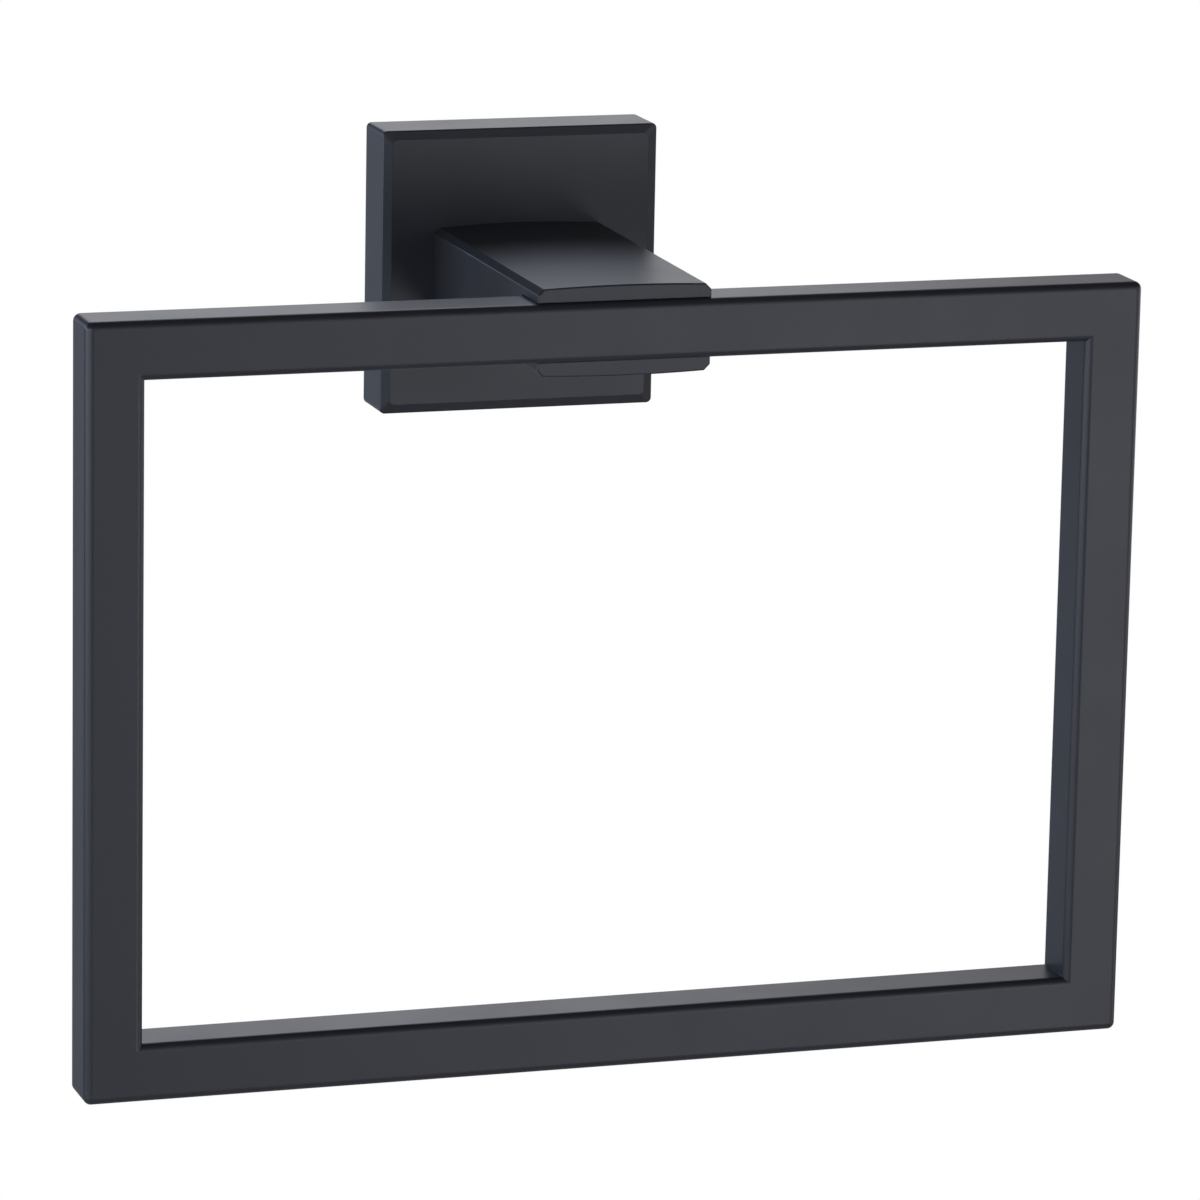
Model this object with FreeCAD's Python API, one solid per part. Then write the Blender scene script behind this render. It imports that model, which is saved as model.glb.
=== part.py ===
"""Square towel ring for a wall: a mitred bar frame held in the forked end of a cast post, on a square rose.

Millimetres. The wall is the plane y = 0, the object stands out from it towards -Y, and +Z is up.
The origin lies on the wall behind the centre of the rose, level with the middle of the ring's top bar.
"""
import FreeCAD, Part
import math
import os

Vector = FreeCAD.Vector

# Ring: one square-edged bar, mitred and welded into a rectangle
ring_width = 203.0
ring_height = 145.7
bar_height = 11.0
bar_depth = 11.4
bar_edge_radius = 1.4
projection = 79.3

# Rose: a die-cast square cover, open towards the wall
rose_size = 54.8
rose_depth = 12.0
rose_bevel_width = 1.8
rose_bevel_depth = 0.5
rose_corner_radius = 1.0
rose_edge_radius = 0.3
rose_side_wall = 2.2
rose_front_wall = 3.5
rose_cavity_radius = 1.5

# Post: a casting that is a little thicker at the rose, with crowned top and bottom faces
post_root_width = 34.0
post_root_height = 17.0
post_root_crown = 0.6
post_tip_width = 33.4
post_tip_height = 16.3
post_tip_crown = 0.35
post_chamfer = 1.15
post_edge_radius = 0.3
lip_setback = 1.7
slot_clearance = 0.05

# Two long screws that clamp the rose, the post and the ring together from behind
screw_diameter = 5.0
screw_inset = 7.8
screw_clearance = 0.25
screw_engagement = 5.7
thread_clearance = 0.05
thread_runout = 2.3
screw_tip_chamfer = 0.6
head_diameter = 9.5
head_height = 2.75
head_rim = 0.6
head_flat_diameter = 5.4
head_socket_width = 3.0
head_socket_depth = 1.6
washer_thickness = 1.2
washer_diameter = 9.2
washer_bore = 5.2
washer_gap = 0.9
washer_gap_slant = 25.0

# Wall bracket: pressed sheet with an upper and a lower flange that lean outwards like a dovetail
bracket_gap = 7.2
bracket_thickness = 1.5
bracket_bend_radius = 1.0
flange_lean = 20.0
flange_front_gap = 1.0
wall_slot_width = 4.6
wall_slot_length = 7.5
wall_slot_edge = 7.0

# Hook rib inside the rose's top wall, which drops behind the bracket's upper flange
hook_width = 24.0
hook_back = 2.5
hook_front = 6.5
hook_clearance = 0.1

# Set screw from below, which bears on the lower flange and draws the rose to the wall
set_screw_diameter = 5.0
set_screw_length = 6.0
set_screw_from_wall = 5.5
set_screw_tip_gap = 0.1
set_screw_tip_radius = 0.6
set_screw_socket_width = 2.5
set_screw_socket_depth = 2.5
set_screw_chamfer = 0.5
boss_width = 10.0
boss_wall = 1.6
boss_flange_gap = 2.0

# Sizes that follow from the ones above
rose_side_depth = rose_depth - rose_bevel_depth
cavity_size = rose_size - 2 * rose_side_wall
cavity_depth = rose_depth - rose_front_wall
bracket_size = cavity_size - 2 * bracket_gap
flange_reach = cavity_depth - flange_front_gap
bar_back = projection - bar_depth
post_tip = projection - lip_setback
slot_height = bar_height + 2 * slot_clearance
screw_x = post_tip_width / 2 - screw_inset
head_seat = cavity_depth - washer_thickness
lean = math.radians(flange_lean)
touching = 1e-6


def rounded_outline(width, height, radius, y):
    """Closed outline of a rectangle with round corners, centred on the Y axis in the plane at y."""
    half_x = width / 2 - radius
    half_z = height / 2 - radius
    corners = [(half_x, half_z, 0), (-half_x, half_z, 90), (-half_x, -half_z, 180), (half_x, -half_z, 270)]
    edges = []
    for index, (x, z, start) in enumerate(corners):
        points = [
            Vector(x + radius * math.cos(math.radians(start + turn)), y,
                   z + radius * math.sin(math.radians(start + turn)))
            for turn in (0, 45, 90)
        ]
        edges.append(Part.Arc(*points).toShape())
        next_x, next_z, next_start = corners[(index + 1) % 4]
        following = Vector(next_x + radius * math.cos(math.radians(next_start)), y,
                           next_z + radius * math.sin(math.radians(next_start)))
        edges.append(Part.makeLine(points[2], following))
    return Part.Wire(edges)


def rounded_block(width, height, radius, y_from, y_to):
    """Block with four round corner edges, from one depth to another."""
    face = Part.Face(rounded_outline(width, height, radius, y_from))
    return face.extrude(Vector(0, y_to - y_from, 0))


def hexagon_prism(across_flats, height):
    """Hexagonal prism standing on the XY plane, for a key's socket."""
    corner = across_flats / math.sqrt(3)
    points = [
        Vector(corner * math.cos(math.radians(60 * side)), corner * math.sin(math.radians(60 * side)), 0)
        for side in range(7)
    ]
    return Part.Face(Part.makePolygon(points)).extrude(Vector(0, 0, height))


def flange_z(distance_from_wall):
    """Height of the upper flange's outer face at a distance from the wall."""
    return bracket_size / 2 + distance_from_wall * math.tan(lean)


def edges_at_depth(shape, y):
    """Edges of a shape that lie in the plane at y."""
    return [edge for edge in shape.Edges if all(abs(vertex.Y - y) < touching for vertex in edge.Vertexes)]


def make_ring():
    """Square bar swept round the rectangle with mitred corners, its edges rounded, drilled from behind."""
    centre_z = (bar_height - ring_height) / 2
    half_x = (ring_width - bar_height) / 2
    half_z = (ring_height - bar_height) / 2
    centre_y = -projection + bar_depth / 2
    path_points = [
        Vector(0, centre_y, centre_z - half_z),
        Vector(half_x, centre_y, centre_z - half_z),
        Vector(half_x, centre_y, centre_z + half_z),
        Vector(-half_x, centre_y, centre_z + half_z),
        Vector(-half_x, centre_y, centre_z - half_z),
        Vector(0, centre_y, centre_z - half_z),
    ]
    section_corners = [(-1, -1), (1, -1), (1, 1), (-1, 1), (-1, -1)]
    section = Part.makePolygon([
        path_points[0] + Vector(0, depth * bar_depth / 2, height * bar_height / 2)
        for depth, height in section_corners
    ])
    # The last option keeps the corners mitred instead of rounding them
    ring = Part.makePolygon(path_points).makePipeShell([section], True, False, 1).removeSplitter()
    outer_corners = [
        edge for edge in ring.Edges
        if all(abs(abs(vertex.X) - ring_width / 2) < touching for vertex in edge.Vertexes)
        and abs(edge.Vertexes[0].Y - edge.Vertexes[-1].Y) > touching
    ]
    face_edges = edges_at_depth(ring, -projection) + edges_at_depth(ring, -bar_back)
    ring = ring.makeFillet(bar_edge_radius, outer_corners + face_edges)
    for x in (-screw_x, screw_x):
        hole = Part.makeCylinder(
            screw_diameter / 2 + thread_clearance, screw_engagement + thread_runout,
            Vector(x, -bar_back, 0), Vector(0, -1, 0))
        ring = ring.cut(hole)
    return ring


def post_outline(width, height, crown, y):
    """Post's cross-section at one depth: upright sides, chamfered corners, crowned top and bottom."""
    side = width / 2
    inner = side - post_chamfer
    top = height / 2
    shoulder = top - post_chamfer
    edges = [
        Part.Arc(Vector(-inner, y, top), Vector(0, y, top + crown), Vector(inner, y, top)).toShape(),
        Part.makeLine(Vector(inner, y, top), Vector(side, y, shoulder)),
        Part.makeLine(Vector(side, y, shoulder), Vector(side, y, -shoulder)),
        Part.makeLine(Vector(side, y, -shoulder), Vector(inner, y, -top)),
        Part.Arc(Vector(inner, y, -top), Vector(0, y, -top - crown), Vector(-inner, y, -top)).toShape(),
        Part.makeLine(Vector(-inner, y, -top), Vector(-side, y, -shoulder)),
        Part.makeLine(Vector(-side, y, -shoulder), Vector(-side, y, shoulder)),
        Part.makeLine(Vector(-side, y, shoulder), Vector(-inner, y, top)),
    ]
    return Part.Wire(edges)


def make_post():
    """Drafted post with its outer edges eased, slotted at the tip and bored through for the screws."""
    root = post_outline(post_root_width, post_root_height, post_root_crown, -rose_depth)
    tip = post_outline(post_tip_width, post_tip_height, post_tip_crown, -post_tip)
    post = Part.makeLoft([root, tip], True, True)
    open_edges = [
        edge for edge in post.Edges
        if any(abs(vertex.Y + post_tip) < touching for vertex in edge.Vertexes)
    ]
    post = post.makeFillet(post_edge_radius, open_edges)
    slot = Part.makeBox(
        2 * post_root_width, post_tip - bar_back + bar_depth, slot_height,
        Vector(-post_root_width, -bar_back - (post_tip - bar_back + bar_depth), -slot_height / 2))
    post = post.cut(slot)
    for x in (-screw_x, screw_x):
        bore = Part.makeCylinder(
            screw_diameter / 2 + screw_clearance, bar_back, Vector(x, 0, 0), Vector(0, -1, 0))
        post = post.cut(bore)
    return post


def make_rose():
    """Hollow square cover with a shallow bevel round its face, a hook rib above, a screw boss below."""
    rose = rounded_block(rose_size, rose_size, rose_corner_radius, 0, -rose_side_depth)
    bevel_base = rounded_outline(rose_size, rose_size, rose_corner_radius, -rose_side_depth)
    face_size = rose_size - 2 * rose_bevel_width
    bevel_top = rounded_outline(face_size, face_size, rose_corner_radius, -rose_depth)
    rose = rose.fuse(Part.makeLoft([bevel_base, bevel_top], True, True)).removeSplitter()
    rose = rose.makeFillet(rose_edge_radius, edges_at_depth(rose, -rose_side_depth))
    rose = rose.cut(rounded_block(cavity_size, cavity_size, rose_cavity_radius, 0, -cavity_depth))
    rose = rose.fuse(hook_rib()).fuse(set_screw_boss()).removeSplitter()
    for x in (-screw_x, screw_x):
        hole = Part.makeCylinder(
            screw_diameter / 2 + screw_clearance, rose_depth, Vector(x, 0, 0), Vector(0, -1, 0))
        rose = rose.cut(hole)
    threaded_hole = Part.makeCylinder(
        set_screw_diameter / 2 + thread_clearance, rose_size / 2,
        Vector(0, -set_screw_from_wall, 0), Vector(0, 0, -1))
    return rose.cut(threaded_hole)


def hook_rib():
    """Rib under the rose's top wall, sloped like the bracket's flange."""
    root = cavity_size / 2 + rose_side_wall / 2
    points = [
        Vector(-hook_width / 2, -hook_back, root),
        Vector(-hook_width / 2, -hook_back, flange_z(hook_back) + hook_clearance),
        Vector(-hook_width / 2, -hook_front, flange_z(hook_front) + hook_clearance),
        Vector(-hook_width / 2, -hook_front, root),
    ]
    return Part.Face(Part.makePolygon(points + points[:1])).extrude(Vector(hook_width, 0, 0))


def set_screw_boss():
    """Thickened pad on the rose's bottom wall that holds the set screw's thread."""
    inner_end = flange_z(set_screw_from_wall) + boss_flange_gap
    root = cavity_size / 2 + rose_side_wall / 2
    back = set_screw_from_wall - set_screw_diameter / 2 - boss_wall
    return Part.makeBox(
        boss_width, cavity_depth + rose_front_wall / 2 - back, root - inner_end,
        Vector(-boss_width / 2, -cavity_depth - rose_front_wall / 2, -root))


def make_bracket():
    """Pressed sheet bracket: plate, two dovetail flanges with round bends, two slots for wall screws."""
    half = bracket_size / 2
    tip_run = (flange_reach - bracket_thickness * math.sin(lean)) / math.cos(lean)
    inner_start = bracket_thickness * (1 - math.sin(lean)) / math.cos(lean)
    inner_z = half - bracket_thickness * math.cos(lean) + inner_start * math.sin(lean)
    upper = [
        (-bracket_thickness, inner_z),
        (-bracket_thickness * math.sin(lean) - tip_run * math.cos(lean),
         half - bracket_thickness * math.cos(lean) + tip_run * math.sin(lean)),
        (-tip_run * math.cos(lean), half + tip_run * math.sin(lean)),
        (0, half),
    ]
    section = upper + [(y, -z) for y, z in reversed(upper)]
    points = [Vector(-half, y, z) for y, z in section + section[:1]]
    bracket = Part.Face(Part.makePolygon(points)).extrude(Vector(bracket_size, 0, 0))
    bends = [
        (bracket_bend_radius, (-bracket_thickness, inner_z)),
        (bracket_bend_radius + bracket_thickness, (0, half)),
    ]
    for radius, (y, z) in bends:
        edges = [edge for edge in bracket.Edges if runs_along_x_at(edge, y, z)]
        bracket = bracket.makeFillet(radius, edges)
    for z in (-half + wall_slot_edge, half - wall_slot_edge):
        bracket = bracket.cut(wall_slot(z))
    return bracket


def runs_along_x_at(edge, y, z):
    """True for a straight edge along X at that depth and that distance above or below the middle."""
    spans_x = abs(edge.Vertexes[0].X - edge.Vertexes[-1].X) > touching
    return spans_x and all(
        abs(vertex.Y - y) < touching and abs(abs(vertex.Z) - z) < touching for vertex in edge.Vertexes)


def wall_slot(z):
    """Upright slot through the bracket's plate, with round ends."""
    straight = wall_slot_length - wall_slot_width
    slot = Part.makeBox(
        wall_slot_width, bracket_thickness, straight,
        Vector(-wall_slot_width / 2, -bracket_thickness, z - straight / 2))
    for end in (-1, 1):
        slot = slot.fuse(Part.makeCylinder(
            wall_slot_width / 2, bracket_thickness, Vector(0, 0, z + end * straight / 2), Vector(0, -1, 0)))
    return slot


def make_post_screw():
    """Long screw with a domed head and a key socket, its head towards the wall, in the middle of the rose."""
    length = bar_back + screw_engagement - head_seat
    shank = screw_diameter / 2
    rim = head_diameter / 2
    flat = head_flat_diameter / 2
    dome_centre = (flat ** 2 + head_height ** 2 - rim ** 2 - head_rim ** 2) / (2 * (head_height - head_rim))
    dome_radius = math.hypot(rim, head_rim - dome_centre)
    angle = (math.atan2(head_rim - dome_centre, rim) + math.atan2(head_height - dome_centre, flat)) / 2
    dome_middle = Vector(dome_radius * math.cos(angle), 0, dome_centre + dome_radius * math.sin(angle))
    outline = [
        Part.makeLine(Vector(0, 0, -length), Vector(shank - screw_tip_chamfer, 0, -length)),
        Part.makeLine(Vector(shank - screw_tip_chamfer, 0, -length),
                      Vector(shank, 0, -length + screw_tip_chamfer)),
        Part.makeLine(Vector(shank, 0, -length + screw_tip_chamfer), Vector(shank, 0, 0)),
        Part.makeLine(Vector(shank, 0, 0), Vector(rim, 0, 0)),
        Part.makeLine(Vector(rim, 0, 0), Vector(rim, 0, head_rim)),
        Part.Arc(Vector(rim, 0, head_rim), dome_middle, Vector(flat, 0, head_height)).toShape(),
        Part.makeLine(Vector(flat, 0, head_height), Vector(0, 0, head_height)),
        Part.makeLine(Vector(0, 0, head_height), Vector(0, 0, -length)),
    ]
    screw = Part.Face(Part.Wire(outline)).revolve(Vector(0, 0, 0), Vector(0, 0, 1), 360)
    socket = hexagon_prism(head_socket_width, head_socket_depth)
    socket.translate(Vector(0, 0, head_height - head_socket_depth))
    return facing_wall(screw.cut(socket), head_seat)


def make_lock_washer():
    """Split spring washer, pressed flat, between the screw's head and the rose."""
    washer = Part.makeCylinder(washer_diameter / 2, washer_thickness)
    washer = washer.cut(Part.makeCylinder(washer_bore / 2, washer_thickness))
    gap = Part.makeBox(washer_gap, washer_diameter, 4 * washer_thickness,
                       Vector(-washer_gap / 2, 0, -2 * washer_thickness))
    gap.rotate(Vector(0, 0, 0), Vector(0, 1, 0), washer_gap_slant)
    gap.translate(Vector(0, 0, washer_thickness / 2))
    return facing_wall(washer.cut(gap), head_seat + washer_thickness)


def facing_wall(shape, distance_from_wall):
    """Turns a shape made along +Z so that its +Z points at the wall, with its base at that distance."""
    shape.rotate(Vector(0, 0, 0), Vector(1, 0, 0), -90)
    shape.translate(Vector(0, -distance_from_wall, 0))
    return shape


def pair(shape):
    """The same piece at both screw positions, as separate solids."""
    copies = []
    for x in (-screw_x, screw_x):
        piece = shape.copy()
        piece.translate(Vector(x, 0, 0))
        copies.append(piece)
    return Part.makeCompound(copies)


def make_set_screw():
    """Socket set screw with a cone point, up through the rose's bottom wall to the lower flange."""
    radius = set_screw_diameter / 2
    cone = radius - set_screw_tip_radius
    outline = [
        Vector(0, 0, 0),
        Vector(set_screw_tip_radius, 0, 0),
        Vector(radius, 0, -cone),
        Vector(radius, 0, -set_screw_length + set_screw_chamfer),
        Vector(radius - set_screw_chamfer, 0, -set_screw_length),
        Vector(0, 0, -set_screw_length),
        Vector(0, 0, 0),
    ]
    screw = Part.Face(Part.makePolygon(outline)).revolve(Vector(0, 0, 0), Vector(0, 0, 1), 360)
    socket = hexagon_prism(set_screw_socket_width, set_screw_socket_depth)
    socket.translate(Vector(0, 0, -set_screw_length))
    screw = screw.cut(socket)
    tip_z = -flange_z(set_screw_from_wall + set_screw_tip_radius) - set_screw_tip_gap
    screw.translate(Vector(0, -set_screw_from_wall, tip_z))
    return screw


def main():
    """Builds every piece and writes one file for each."""
    os.makedirs("parts", exist_ok=True)
    pieces = {
        "towel_ring": make_ring(),
        "support_post": make_post(),
        "rose_cover": make_rose(),
        "wall_bracket": make_bracket(),
        "post_screws": pair(make_post_screw()),
        "lock_washers": pair(make_lock_washer()),
        "rose_set_screw": make_set_screw(),
    }
    for name, shape in pieces.items():
        solids = shape.Solids
        state = "valid" if shape.isValid() else "BAD"
        print(name, len(solids), "solid(s)", round(shape.Volume, 1), "mm3", state)
        piece = solids[0] if len(solids) == 1 else shape
        piece.exportStep("parts/" + name + ".step")


main()
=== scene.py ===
"""Looks of the square towel ring: satin black coat, plated bracket, steel screws, soft studio light."""

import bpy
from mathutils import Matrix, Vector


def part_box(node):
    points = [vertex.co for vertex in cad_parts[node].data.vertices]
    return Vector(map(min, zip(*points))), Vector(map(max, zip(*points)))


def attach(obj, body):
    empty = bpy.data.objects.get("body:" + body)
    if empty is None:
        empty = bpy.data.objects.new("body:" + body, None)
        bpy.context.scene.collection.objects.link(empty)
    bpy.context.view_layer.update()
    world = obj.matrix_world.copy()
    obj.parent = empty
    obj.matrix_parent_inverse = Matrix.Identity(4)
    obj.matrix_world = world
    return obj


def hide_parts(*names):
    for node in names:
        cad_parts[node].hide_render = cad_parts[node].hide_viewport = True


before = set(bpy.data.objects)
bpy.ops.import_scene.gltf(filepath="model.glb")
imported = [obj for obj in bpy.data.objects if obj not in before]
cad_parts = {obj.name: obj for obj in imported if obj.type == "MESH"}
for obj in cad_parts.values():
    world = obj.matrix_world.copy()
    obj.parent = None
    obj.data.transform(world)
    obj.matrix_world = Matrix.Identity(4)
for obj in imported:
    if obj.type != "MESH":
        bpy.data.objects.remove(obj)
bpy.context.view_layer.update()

import math
from collections import namedtuple

import bpy
from mathutils import Matrix, Vector

MM = 0.001
quarter_turn = math.radians(90)

# Camera: the point it looks at, its distance from there, its angles and its lens
camera_aim = Vector((-2.765, -74.555, -51.208)) * MM
camera_distance = 1241.95 * MM
camera_yaw = math.radians(18.018)
camera_pitch = math.radians(12.840)
camera_roll = math.radians(1.103)
camera_lens = 201.328

# Floor and surround: sizes in metres, the glow that the camera sees, and the surround's light on the object
floor_drop = 1.2
floor_size = 4.8
floor_grey = (0.6, 0.6, 0.6, 1)
floor_glow = 0.7
floor_fade_start = 0.6
floor_fade_end = 2.3
white_glow = 1
surround_glow = (0.11, 0.097, 0.105, 1)

# Lamps: bearing from the front towards the right, elevation, sides in metres, radiance and colour
Lamp = namedtuple("Lamp", "bearing elevation width height radiance colour")
lamp_distance = 2.4
lamps = {
    "left_lamp": Lamp(284, 0, 4.8, 1.05, 3.2, (0.9, 0.93, 1.0)),
    "left_rear_lamp": Lamp(226, 11, 1.9, 0.95, 2.1, (0.48, 0.7, 1.0)),
    "left_front_lamp": Lamp(-20, 0, 0.95, 1.9, 1.3, (0.65, 0.82, 1.0)),
    "low_front_lamp": Lamp(25, -11.5, 0.95, 0.95, 2.6, (1.0, 0.99, 0.97)),
    "high_front_lamp": Lamp(36, 11, 1.9, 0.95, 0.95, (0.93, 0.96, 1.0)),
    "right_lamp": Lamp(70, -11.5, 0.95, 0.95, 1.6, (1.0, 0.92, 1.0)),
    "right_rear_lamp": Lamp(147.5, 11, 0.95, 0.95, 0.5, (1.0, 1.0, 1.0)),
    "rear_lamp": Lamp(170, 11, 0.95, 0.95, 1.0, (1.0, 1.0, 1.0)),
    "high_rear_lamp": Lamp(170, 33.5, 0.95, 0.95, 2.0, (0.77, 0.85, 1.0)),
    "low_rear_lamp": Lamp(187, -11.5, 0.55, 0.95, 0.85, (0.66, 0.82, 1.0)),
    "right_side_lamp": Lamp(106, 0, 1.9, 0.95, 1.8, (0.93, 0.96, 1.0)),
}

# Noise: the stretch of its values over which colour and roughness change, and the strength of fine grain
noise_low = 0.3
noise_high = 0.7
grain_strength = 0.3

# Black coat: scales of its clouds, orange peel and grain, its colours, gloss, bumps and softened edges
coat_cloud_scale = 60
coat_peel_scale = 700
coat_grain_scale = 4000
coat_dark = (0.0150, 0.0158, 0.0190)
coat_pale = (0.0185, 0.0195, 0.0232)
coat_roughness = (0.35, 0.39)
coat_ior = 1.52
coat_gloss_tint = (0.86, 0.9, 1, 1)
coat_peel_depth = 0.03 * MM
coat_peel_strength = 0.2
coat_grain_depth = 0.006 * MM
edge_softness = 0.18 * MM
edge_samples = 8

# Zinc-plated sheet of the bracket
sheet_cloud_scale = 120
sheet_grain_scale = 2500
sheet_dark = (0.52, 0.53, 0.54)
sheet_pale = (0.62, 0.63, 0.63)
sheet_roughness = (0.32, 0.45)
sheet_grain_depth = 0.01 * MM

# Steel of the screws and washers
steel_cloud_scale = 500
steel_grain_scale = 5000
steel_dark = (0.48, 0.48, 0.47)
steel_pale = (0.56, 0.55, 0.54)
steel_roughness = (0.25, 0.34)
steel_grain_depth = 0.006 * MM

# M5 screw threads: the thread, its cutter's groove, and how far the threads reach
thread_radius = 2.5 * MM
thread_pitch = 0.8 * MM
thread_depth = 0.45 * MM
thread_overshoot = 0.06 * MM
thread_steps = 24
groove_floor = 0.18 * MM
groove_mouth = 0.76 * MM
post_thread_length = 22 * MM
set_screw_cone = 1.9 * MM
merge_distance = 0.001 * MM
smooth_angle = math.radians(30)


def empty_material(name):
    """Material whose node tree holds its output alone."""
    material = bpy.data.materials.new(name)
    material.use_nodes = True
    nodes = material.node_tree.nodes
    nodes.clear()
    return material, nodes, material.node_tree.links, nodes.new("ShaderNodeOutputMaterial")


def finish_material(name):
    """Material with a shader for a finish, and the position that its patterns read."""
    material, nodes, links, output = empty_material(name)
    shader = nodes.new("ShaderNodeBsdfPrincipled")
    links.new(shader.outputs["BSDF"], output.inputs["Surface"])
    position = nodes.new("ShaderNodeTexCoord").outputs["Object"]
    return material, nodes, links, shader, position


def noise(nodes, links, position, scale, detail):
    """Noise texture that reads a position."""
    texture = nodes.new("ShaderNodeTexNoise")
    texture.inputs["Scale"].default_value = scale
    texture.inputs["Detail"].default_value = detail
    links.new(position, texture.inputs["Vector"])
    return texture.outputs["Fac"]


def spread(nodes, links, value, low, high, from_low=noise_low, from_high=noise_high):
    """Maps a value onto a range."""
    node = nodes.new("ShaderNodeMapRange")
    node.inputs["From Min"].default_value = from_low
    node.inputs["From Max"].default_value = from_high
    node.inputs["To Min"].default_value = low
    node.inputs["To Max"].default_value = high
    links.new(value, node.inputs["Value"])
    return node.outputs["Result"]


def two_tone(nodes, links, value, dark, pale):
    """Colour between two tones, led by a value."""
    ramp = nodes.new("ShaderNodeValToRGB")
    ramp.color_ramp.elements[0].position = noise_low
    ramp.color_ramp.elements[0].color = (*dark, 1)
    ramp.color_ramp.elements[1].position = noise_high
    ramp.color_ramp.elements[1].color = (*pale, 1)
    links.new(value, ramp.inputs["Fac"])
    return ramp.outputs["Color"]


def bump(nodes, links, height, depth, strength, below=None):
    """Bump of a given depth in metres, which may lie on top of another one."""
    node = nodes.new("ShaderNodeBump")
    node.inputs["Distance"].default_value = depth
    node.inputs["Strength"].default_value = strength
    links.new(height, node.inputs["Height"])
    if below:
        links.new(below, node.inputs["Normal"])
    return node.outputs["Normal"]


def black_coat():
    """Satin black powder coat: fine grain over a faint orange peel, on slightly softened edges."""
    material, nodes, links, shader, position = finish_material("satin_black_coat")
    cloud = noise(nodes, links, position, coat_cloud_scale, detail=3)
    peel = noise(nodes, links, position, coat_peel_scale, detail=2)
    grain = noise(nodes, links, position, coat_grain_scale, detail=2)
    links.new(two_tone(nodes, links, cloud, coat_dark, coat_pale), shader.inputs["Base Color"])
    links.new(spread(nodes, links, cloud, *coat_roughness), shader.inputs["Roughness"])
    shader.inputs["IOR"].default_value = coat_ior
    shader.inputs["Specular Tint"].default_value = coat_gloss_tint
    soft_edges = nodes.new("ShaderNodeBevel")
    soft_edges.samples = edge_samples
    soft_edges.inputs["Radius"].default_value = edge_softness
    coarse = bump(nodes, links, peel, coat_peel_depth, coat_peel_strength, soft_edges.outputs["Normal"])
    fine = bump(nodes, links, grain, coat_grain_depth, grain_strength, coarse)
    links.new(fine, shader.inputs["Normal"])
    return material


def plated_sheet():
    """Zinc-plated sheet steel, faintly clouded."""
    material, nodes, links, shader, position = finish_material("zinc_plated_sheet")
    cloud = noise(nodes, links, position, sheet_cloud_scale, detail=4)
    grain = noise(nodes, links, position, sheet_grain_scale, detail=3)
    links.new(two_tone(nodes, links, cloud, sheet_dark, sheet_pale), shader.inputs["Base Color"])
    shader.inputs["Metallic"].default_value = 1
    links.new(spread(nodes, links, cloud, *sheet_roughness), shader.inputs["Roughness"])
    links.new(bump(nodes, links, grain, sheet_grain_depth, grain_strength), shader.inputs["Normal"])
    return material


def screw_steel():
    """Turned steel of the screws and washers."""
    material, nodes, links, shader, position = finish_material("screw_steel")
    cloud = noise(nodes, links, position, steel_cloud_scale, detail=3)
    grain = noise(nodes, links, position, steel_grain_scale, detail=2)
    links.new(two_tone(nodes, links, cloud, steel_dark, steel_pale), shader.inputs["Base Color"])
    shader.inputs["Metallic"].default_value = 1
    links.new(spread(nodes, links, cloud, *steel_roughness), shader.inputs["Roughness"])
    links.new(bump(nodes, links, grain, steel_grain_depth, grain_strength), shader.inputs["Normal"])
    return material


def pale_floor():
    """Matt pale grey that glows for the camera, ever whiter towards the floor's rim."""
    material, nodes, links, output = empty_material("pale_floor")
    matt = nodes.new("ShaderNodeBsdfDiffuse")
    matt.inputs["Color"].default_value = floor_grey
    reach = nodes.new("ShaderNodeVectorMath")
    reach.operation = "LENGTH"
    links.new(nodes.new("ShaderNodeTexCoord").outputs["Object"], reach.inputs[0])
    distance = reach.outputs["Value"]
    fade = spread(nodes, links, distance, floor_glow, white_glow, floor_fade_start, floor_fade_end)
    path = nodes.new("ShaderNodeLightPath")
    strength = nodes.new("ShaderNodeMath")
    strength.operation = "MULTIPLY"
    links.new(path.outputs["Is Camera Ray"], strength.inputs[0])
    links.new(fade, strength.inputs[1])
    glow = nodes.new("ShaderNodeEmission")
    links.new(strength.outputs["Value"], glow.inputs["Strength"])
    both = nodes.new("ShaderNodeAddShader")
    links.new(matt.outputs["BSDF"], both.inputs[0])
    links.new(glow.outputs["Emission"], both.inputs[1])
    links.new(both.outputs["Shader"], output.inputs["Surface"])
    return material


def paint(node, material):
    """Gives a CAD node its material."""
    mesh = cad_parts[node].data
    mesh.materials.clear()
    mesh.materials.append(material)


def cad_copy(node, name):
    """Editable copy of a CAD node, with its loose triangles merged."""
    bpy.ops.object.select_all(action="DESELECT")
    piece = bpy.data.objects.new(name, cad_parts[node].data.copy())
    bpy.context.scene.collection.objects.link(piece)
    bpy.context.view_layer.objects.active = piece
    piece.select_set(True)
    bpy.ops.object.mode_set(mode="EDIT")
    bpy.ops.mesh.select_all(action="SELECT")
    bpy.ops.mesh.remove_doubles(threshold=merge_distance)
    bpy.ops.object.mode_set(mode="OBJECT")
    return piece


def widen_edge(cutter, outer, middle, factor):
    """Stretches the outer or the inner upright edge of a groove section."""
    bpy.ops.mesh.select_all(action="DESELECT")
    bpy.ops.object.mode_set(mode="OBJECT")
    for vertex in cutter.data.vertices:
        vertex.select = (vertex.co.x > middle) == outer
    bpy.ops.object.mode_set(mode="EDIT")
    bpy.ops.transform.resize(value=(1, 1, factor))


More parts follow.
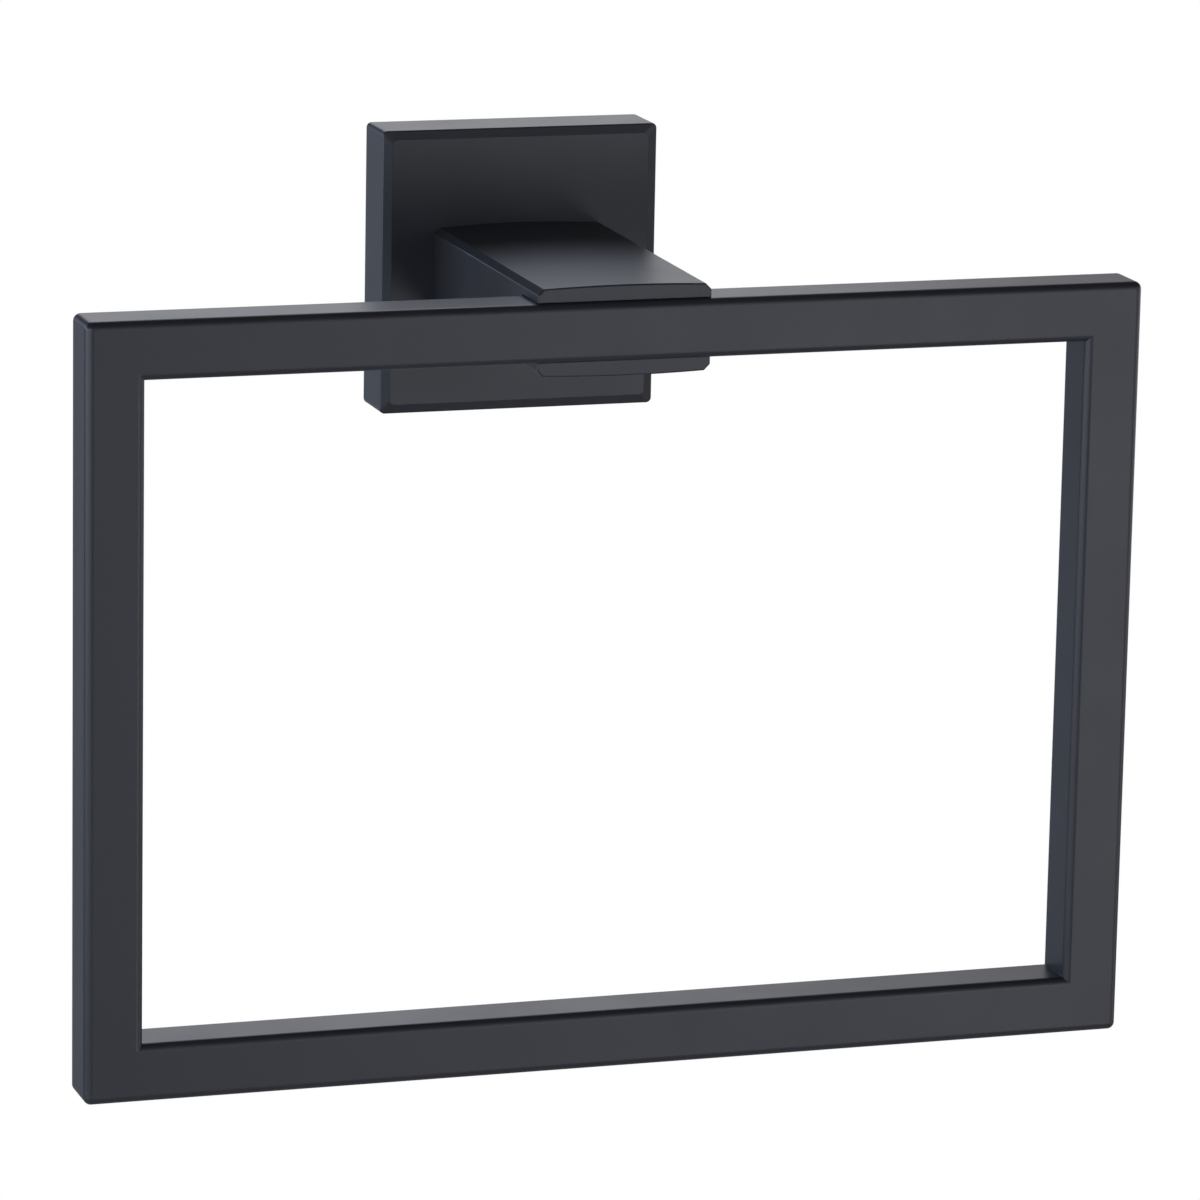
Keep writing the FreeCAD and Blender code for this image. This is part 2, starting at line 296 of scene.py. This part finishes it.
def thread_cutter(radius, length):
    """Helical tool, from its origin up, whose section is the groove of a metric thread."""
    depth = thread_depth + thread_overshoot
    middle = radius - thread_depth + depth / 2
    bpy.ops.object.select_all(action="DESELECT")
    bpy.ops.mesh.primitive_plane_add(size=depth, rotation=(quarter_turn, 0, 0))
    cutter = bpy.context.object
    cutter.location = (middle, 0, 0)
    bpy.ops.object.transform_apply(location=True, rotation=True, scale=True)
    bpy.ops.object.mode_set(mode="EDIT")
    bpy.ops.mesh.select_mode(type="VERT")
    widen_edge(cutter, True, middle, groove_mouth / depth)
    widen_edge(cutter, False, middle, groove_floor / depth)
    bpy.ops.object.mode_set(mode="OBJECT")
    screw = cutter.modifiers.new("helix", "SCREW")
    screw.axis = "Z"
    screw.screw_offset = thread_pitch
    screw.iterations = math.ceil(length / thread_pitch)
    screw.steps = thread_steps
    screw.render_steps = thread_steps
    bpy.ops.object.modifier_apply(modifier=screw.name)
    bpy.ops.object.mode_set(mode="EDIT")
    bpy.ops.mesh.select_all(action="SELECT")
    bpy.ops.mesh.fill_holes(sides=4)
    bpy.ops.mesh.select_all(action="SELECT")
    bpy.ops.mesh.normals_make_consistent(inside=False)
    bpy.ops.object.mode_set(mode="OBJECT")
    return cutter


def cut_thread(piece, radius, length, start, turn):
    """Cuts a thread of a given length into a piece, from a start point along the turned Z axis."""
    cutter = thread_cutter(radius, length)
    cutter.rotation_euler = turn
    cutter.location = start
    bpy.ops.object.transform_apply(location=True, rotation=True, scale=True)
    bpy.ops.object.select_all(action="DESELECT")
    bpy.context.view_layer.objects.active = piece
    piece.select_set(True)
    groove = piece.modifiers.new("groove", "BOOLEAN")
    groove.operation = "DIFFERENCE"
    groove.solver = "EXACT"
    groove.object = cutter
    bpy.ops.object.modifier_apply(modifier=groove.name)
    bpy.data.objects.remove(cutter)
    bpy.ops.object.mode_set(mode="EDIT")
    bpy.ops.mesh.select_all(action="SELECT")
    bpy.ops.mesh.dissolve_degenerate(threshold=merge_distance)
    bpy.ops.mesh.remove_doubles(threshold=merge_distance)
    bpy.ops.object.mode_set(mode="OBJECT")


def finish_screws(piece, node, material):
    """Smooths threaded screws, gives them their steel and sets them in the place of their node."""
    piece.data.materials.clear()
    piece.data.materials.append(material)
    bpy.ops.object.shade_smooth_by_angle(angle=smooth_angle)
    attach(piece, "root")
    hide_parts(node)


def add_post_screws(material):
    """The two long screws, with threads at their tips only."""
    low, high = [Vector(corner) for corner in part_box("post_screws")]
    head_radius = (high.z - low.z) / 2
    piece = cad_copy("post_screws", "threaded_post_screws")
    for x in (low.x + head_radius, high.x - head_radius):
        start = Vector((x, low.y + post_thread_length, 0))
        cut_thread(piece, thread_radius, post_thread_length + thread_pitch, start, (quarter_turn, 0, 0))
    finish_screws(piece, "post_screws", material)


def add_set_screw(material):
    """The short set screw, threaded from its cone to its socket end."""
    low, high = [Vector(corner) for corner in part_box("rose_set_screw")]
    length = high.z - low.z - set_screw_cone
    piece = cad_copy("rose_set_screw", "threaded_set_screw")
    start = Vector(((low.x + high.x) / 2, (low.y + high.y) / 2, high.z - set_screw_cone + thread_pitch / 2))
    cut_thread(piece, thread_radius, length + 2 * thread_pitch, start, (2 * quarter_turn, 0, 0))
    finish_screws(piece, "rose_set_screw", material)


def add_camera():
    """Camera at the photograph's place, with its small roll."""
    camera = bpy.data.objects.new("camera", bpy.data.cameras.new("camera"))
    bpy.context.scene.collection.objects.link(camera)
    camera.data.lens = camera_lens
    turn = (Matrix.Rotation(-camera_yaw, 4, "Z")
            @ Matrix.Rotation(quarter_turn - camera_pitch, 4, "X")
            @ Matrix.Rotation(camera_roll, 4, "Z"))
    camera.matrix_world = Matrix.Translation(camera_aim) @ turn @ Matrix.Translation((0, 0, camera_distance))
    bpy.context.scene.camera = camera


def add_world():
    """White surround for the camera, with only a faint glow from it on the object."""
    world = bpy.data.worlds.new("studio")
    bpy.context.scene.world = world
    world.use_nodes = True
    nodes = world.node_tree.nodes
    links = world.node_tree.links
    nodes.clear()
    output = nodes.new("ShaderNodeOutputWorld")
    faint = nodes.new("ShaderNodeBackground")
    faint.inputs["Color"].default_value = surround_glow
    white = nodes.new("ShaderNodeBackground")
    white.inputs["Color"].default_value = (white_glow, white_glow, white_glow, 1)
    path = nodes.new("ShaderNodeLightPath")
    mix = nodes.new("ShaderNodeMixShader")
    links.new(path.outputs["Is Camera Ray"], mix.inputs["Fac"])
    links.new(faint.outputs["Background"], mix.inputs[1])
    links.new(white.outputs["Background"], mix.inputs[2])
    links.new(mix.outputs["Shader"], output.inputs["Surface"])


def add_lamp(name, lamp):
    """Soft rectangular lamp that faces the ring and isn't seen itself."""
    light = bpy.data.lights.new(name, "AREA")
    light.shape = "RECTANGLE"
    light.size = lamp.width
    light.size_y = lamp.height
    light.color = lamp.colour
    light.energy = lamp.radiance * math.pi * lamp.width * lamp.height
    box = bpy.data.objects.new(name, light)
    bpy.context.scene.collection.objects.link(box)
    box.visible_camera = False
    turn = (Matrix.Rotation(math.radians(lamp.bearing), 4, "Z")
            @ Matrix.Rotation(math.radians(90 - lamp.elevation), 4, "X"))
    box.matrix_world = Matrix.Translation(camera_aim) @ turn @ Matrix.Translation((0, 0, lamp_distance))


def add_floor():
    """Plain pale floor well below the ring, which fades into the white surround."""
    bpy.ops.object.select_all(action="DESELECT")
    bpy.ops.mesh.primitive_plane_add(size=floor_size, location=(0, 0, -floor_drop))
    floor = bpy.context.object
    floor.name = "floor"
    floor.data.materials.append(pale_floor())


def main():
    """Dresses the frame and sets the stage."""
    coat = black_coat()
    for node in ("towel_ring", "support_post", "rose_cover"):
        paint(node, coat)
    paint("wall_bracket", plated_sheet())
    steel = screw_steel()
    paint("lock_washers", steel)
    add_post_screws(steel)
    add_set_screw(steel)
    add_camera()
    add_world()
    add_floor()
    for name, lamp in lamps.items():
        add_lamp(name, lamp)
    bpy.context.scene.view_settings.view_transform = "Standard"


main()
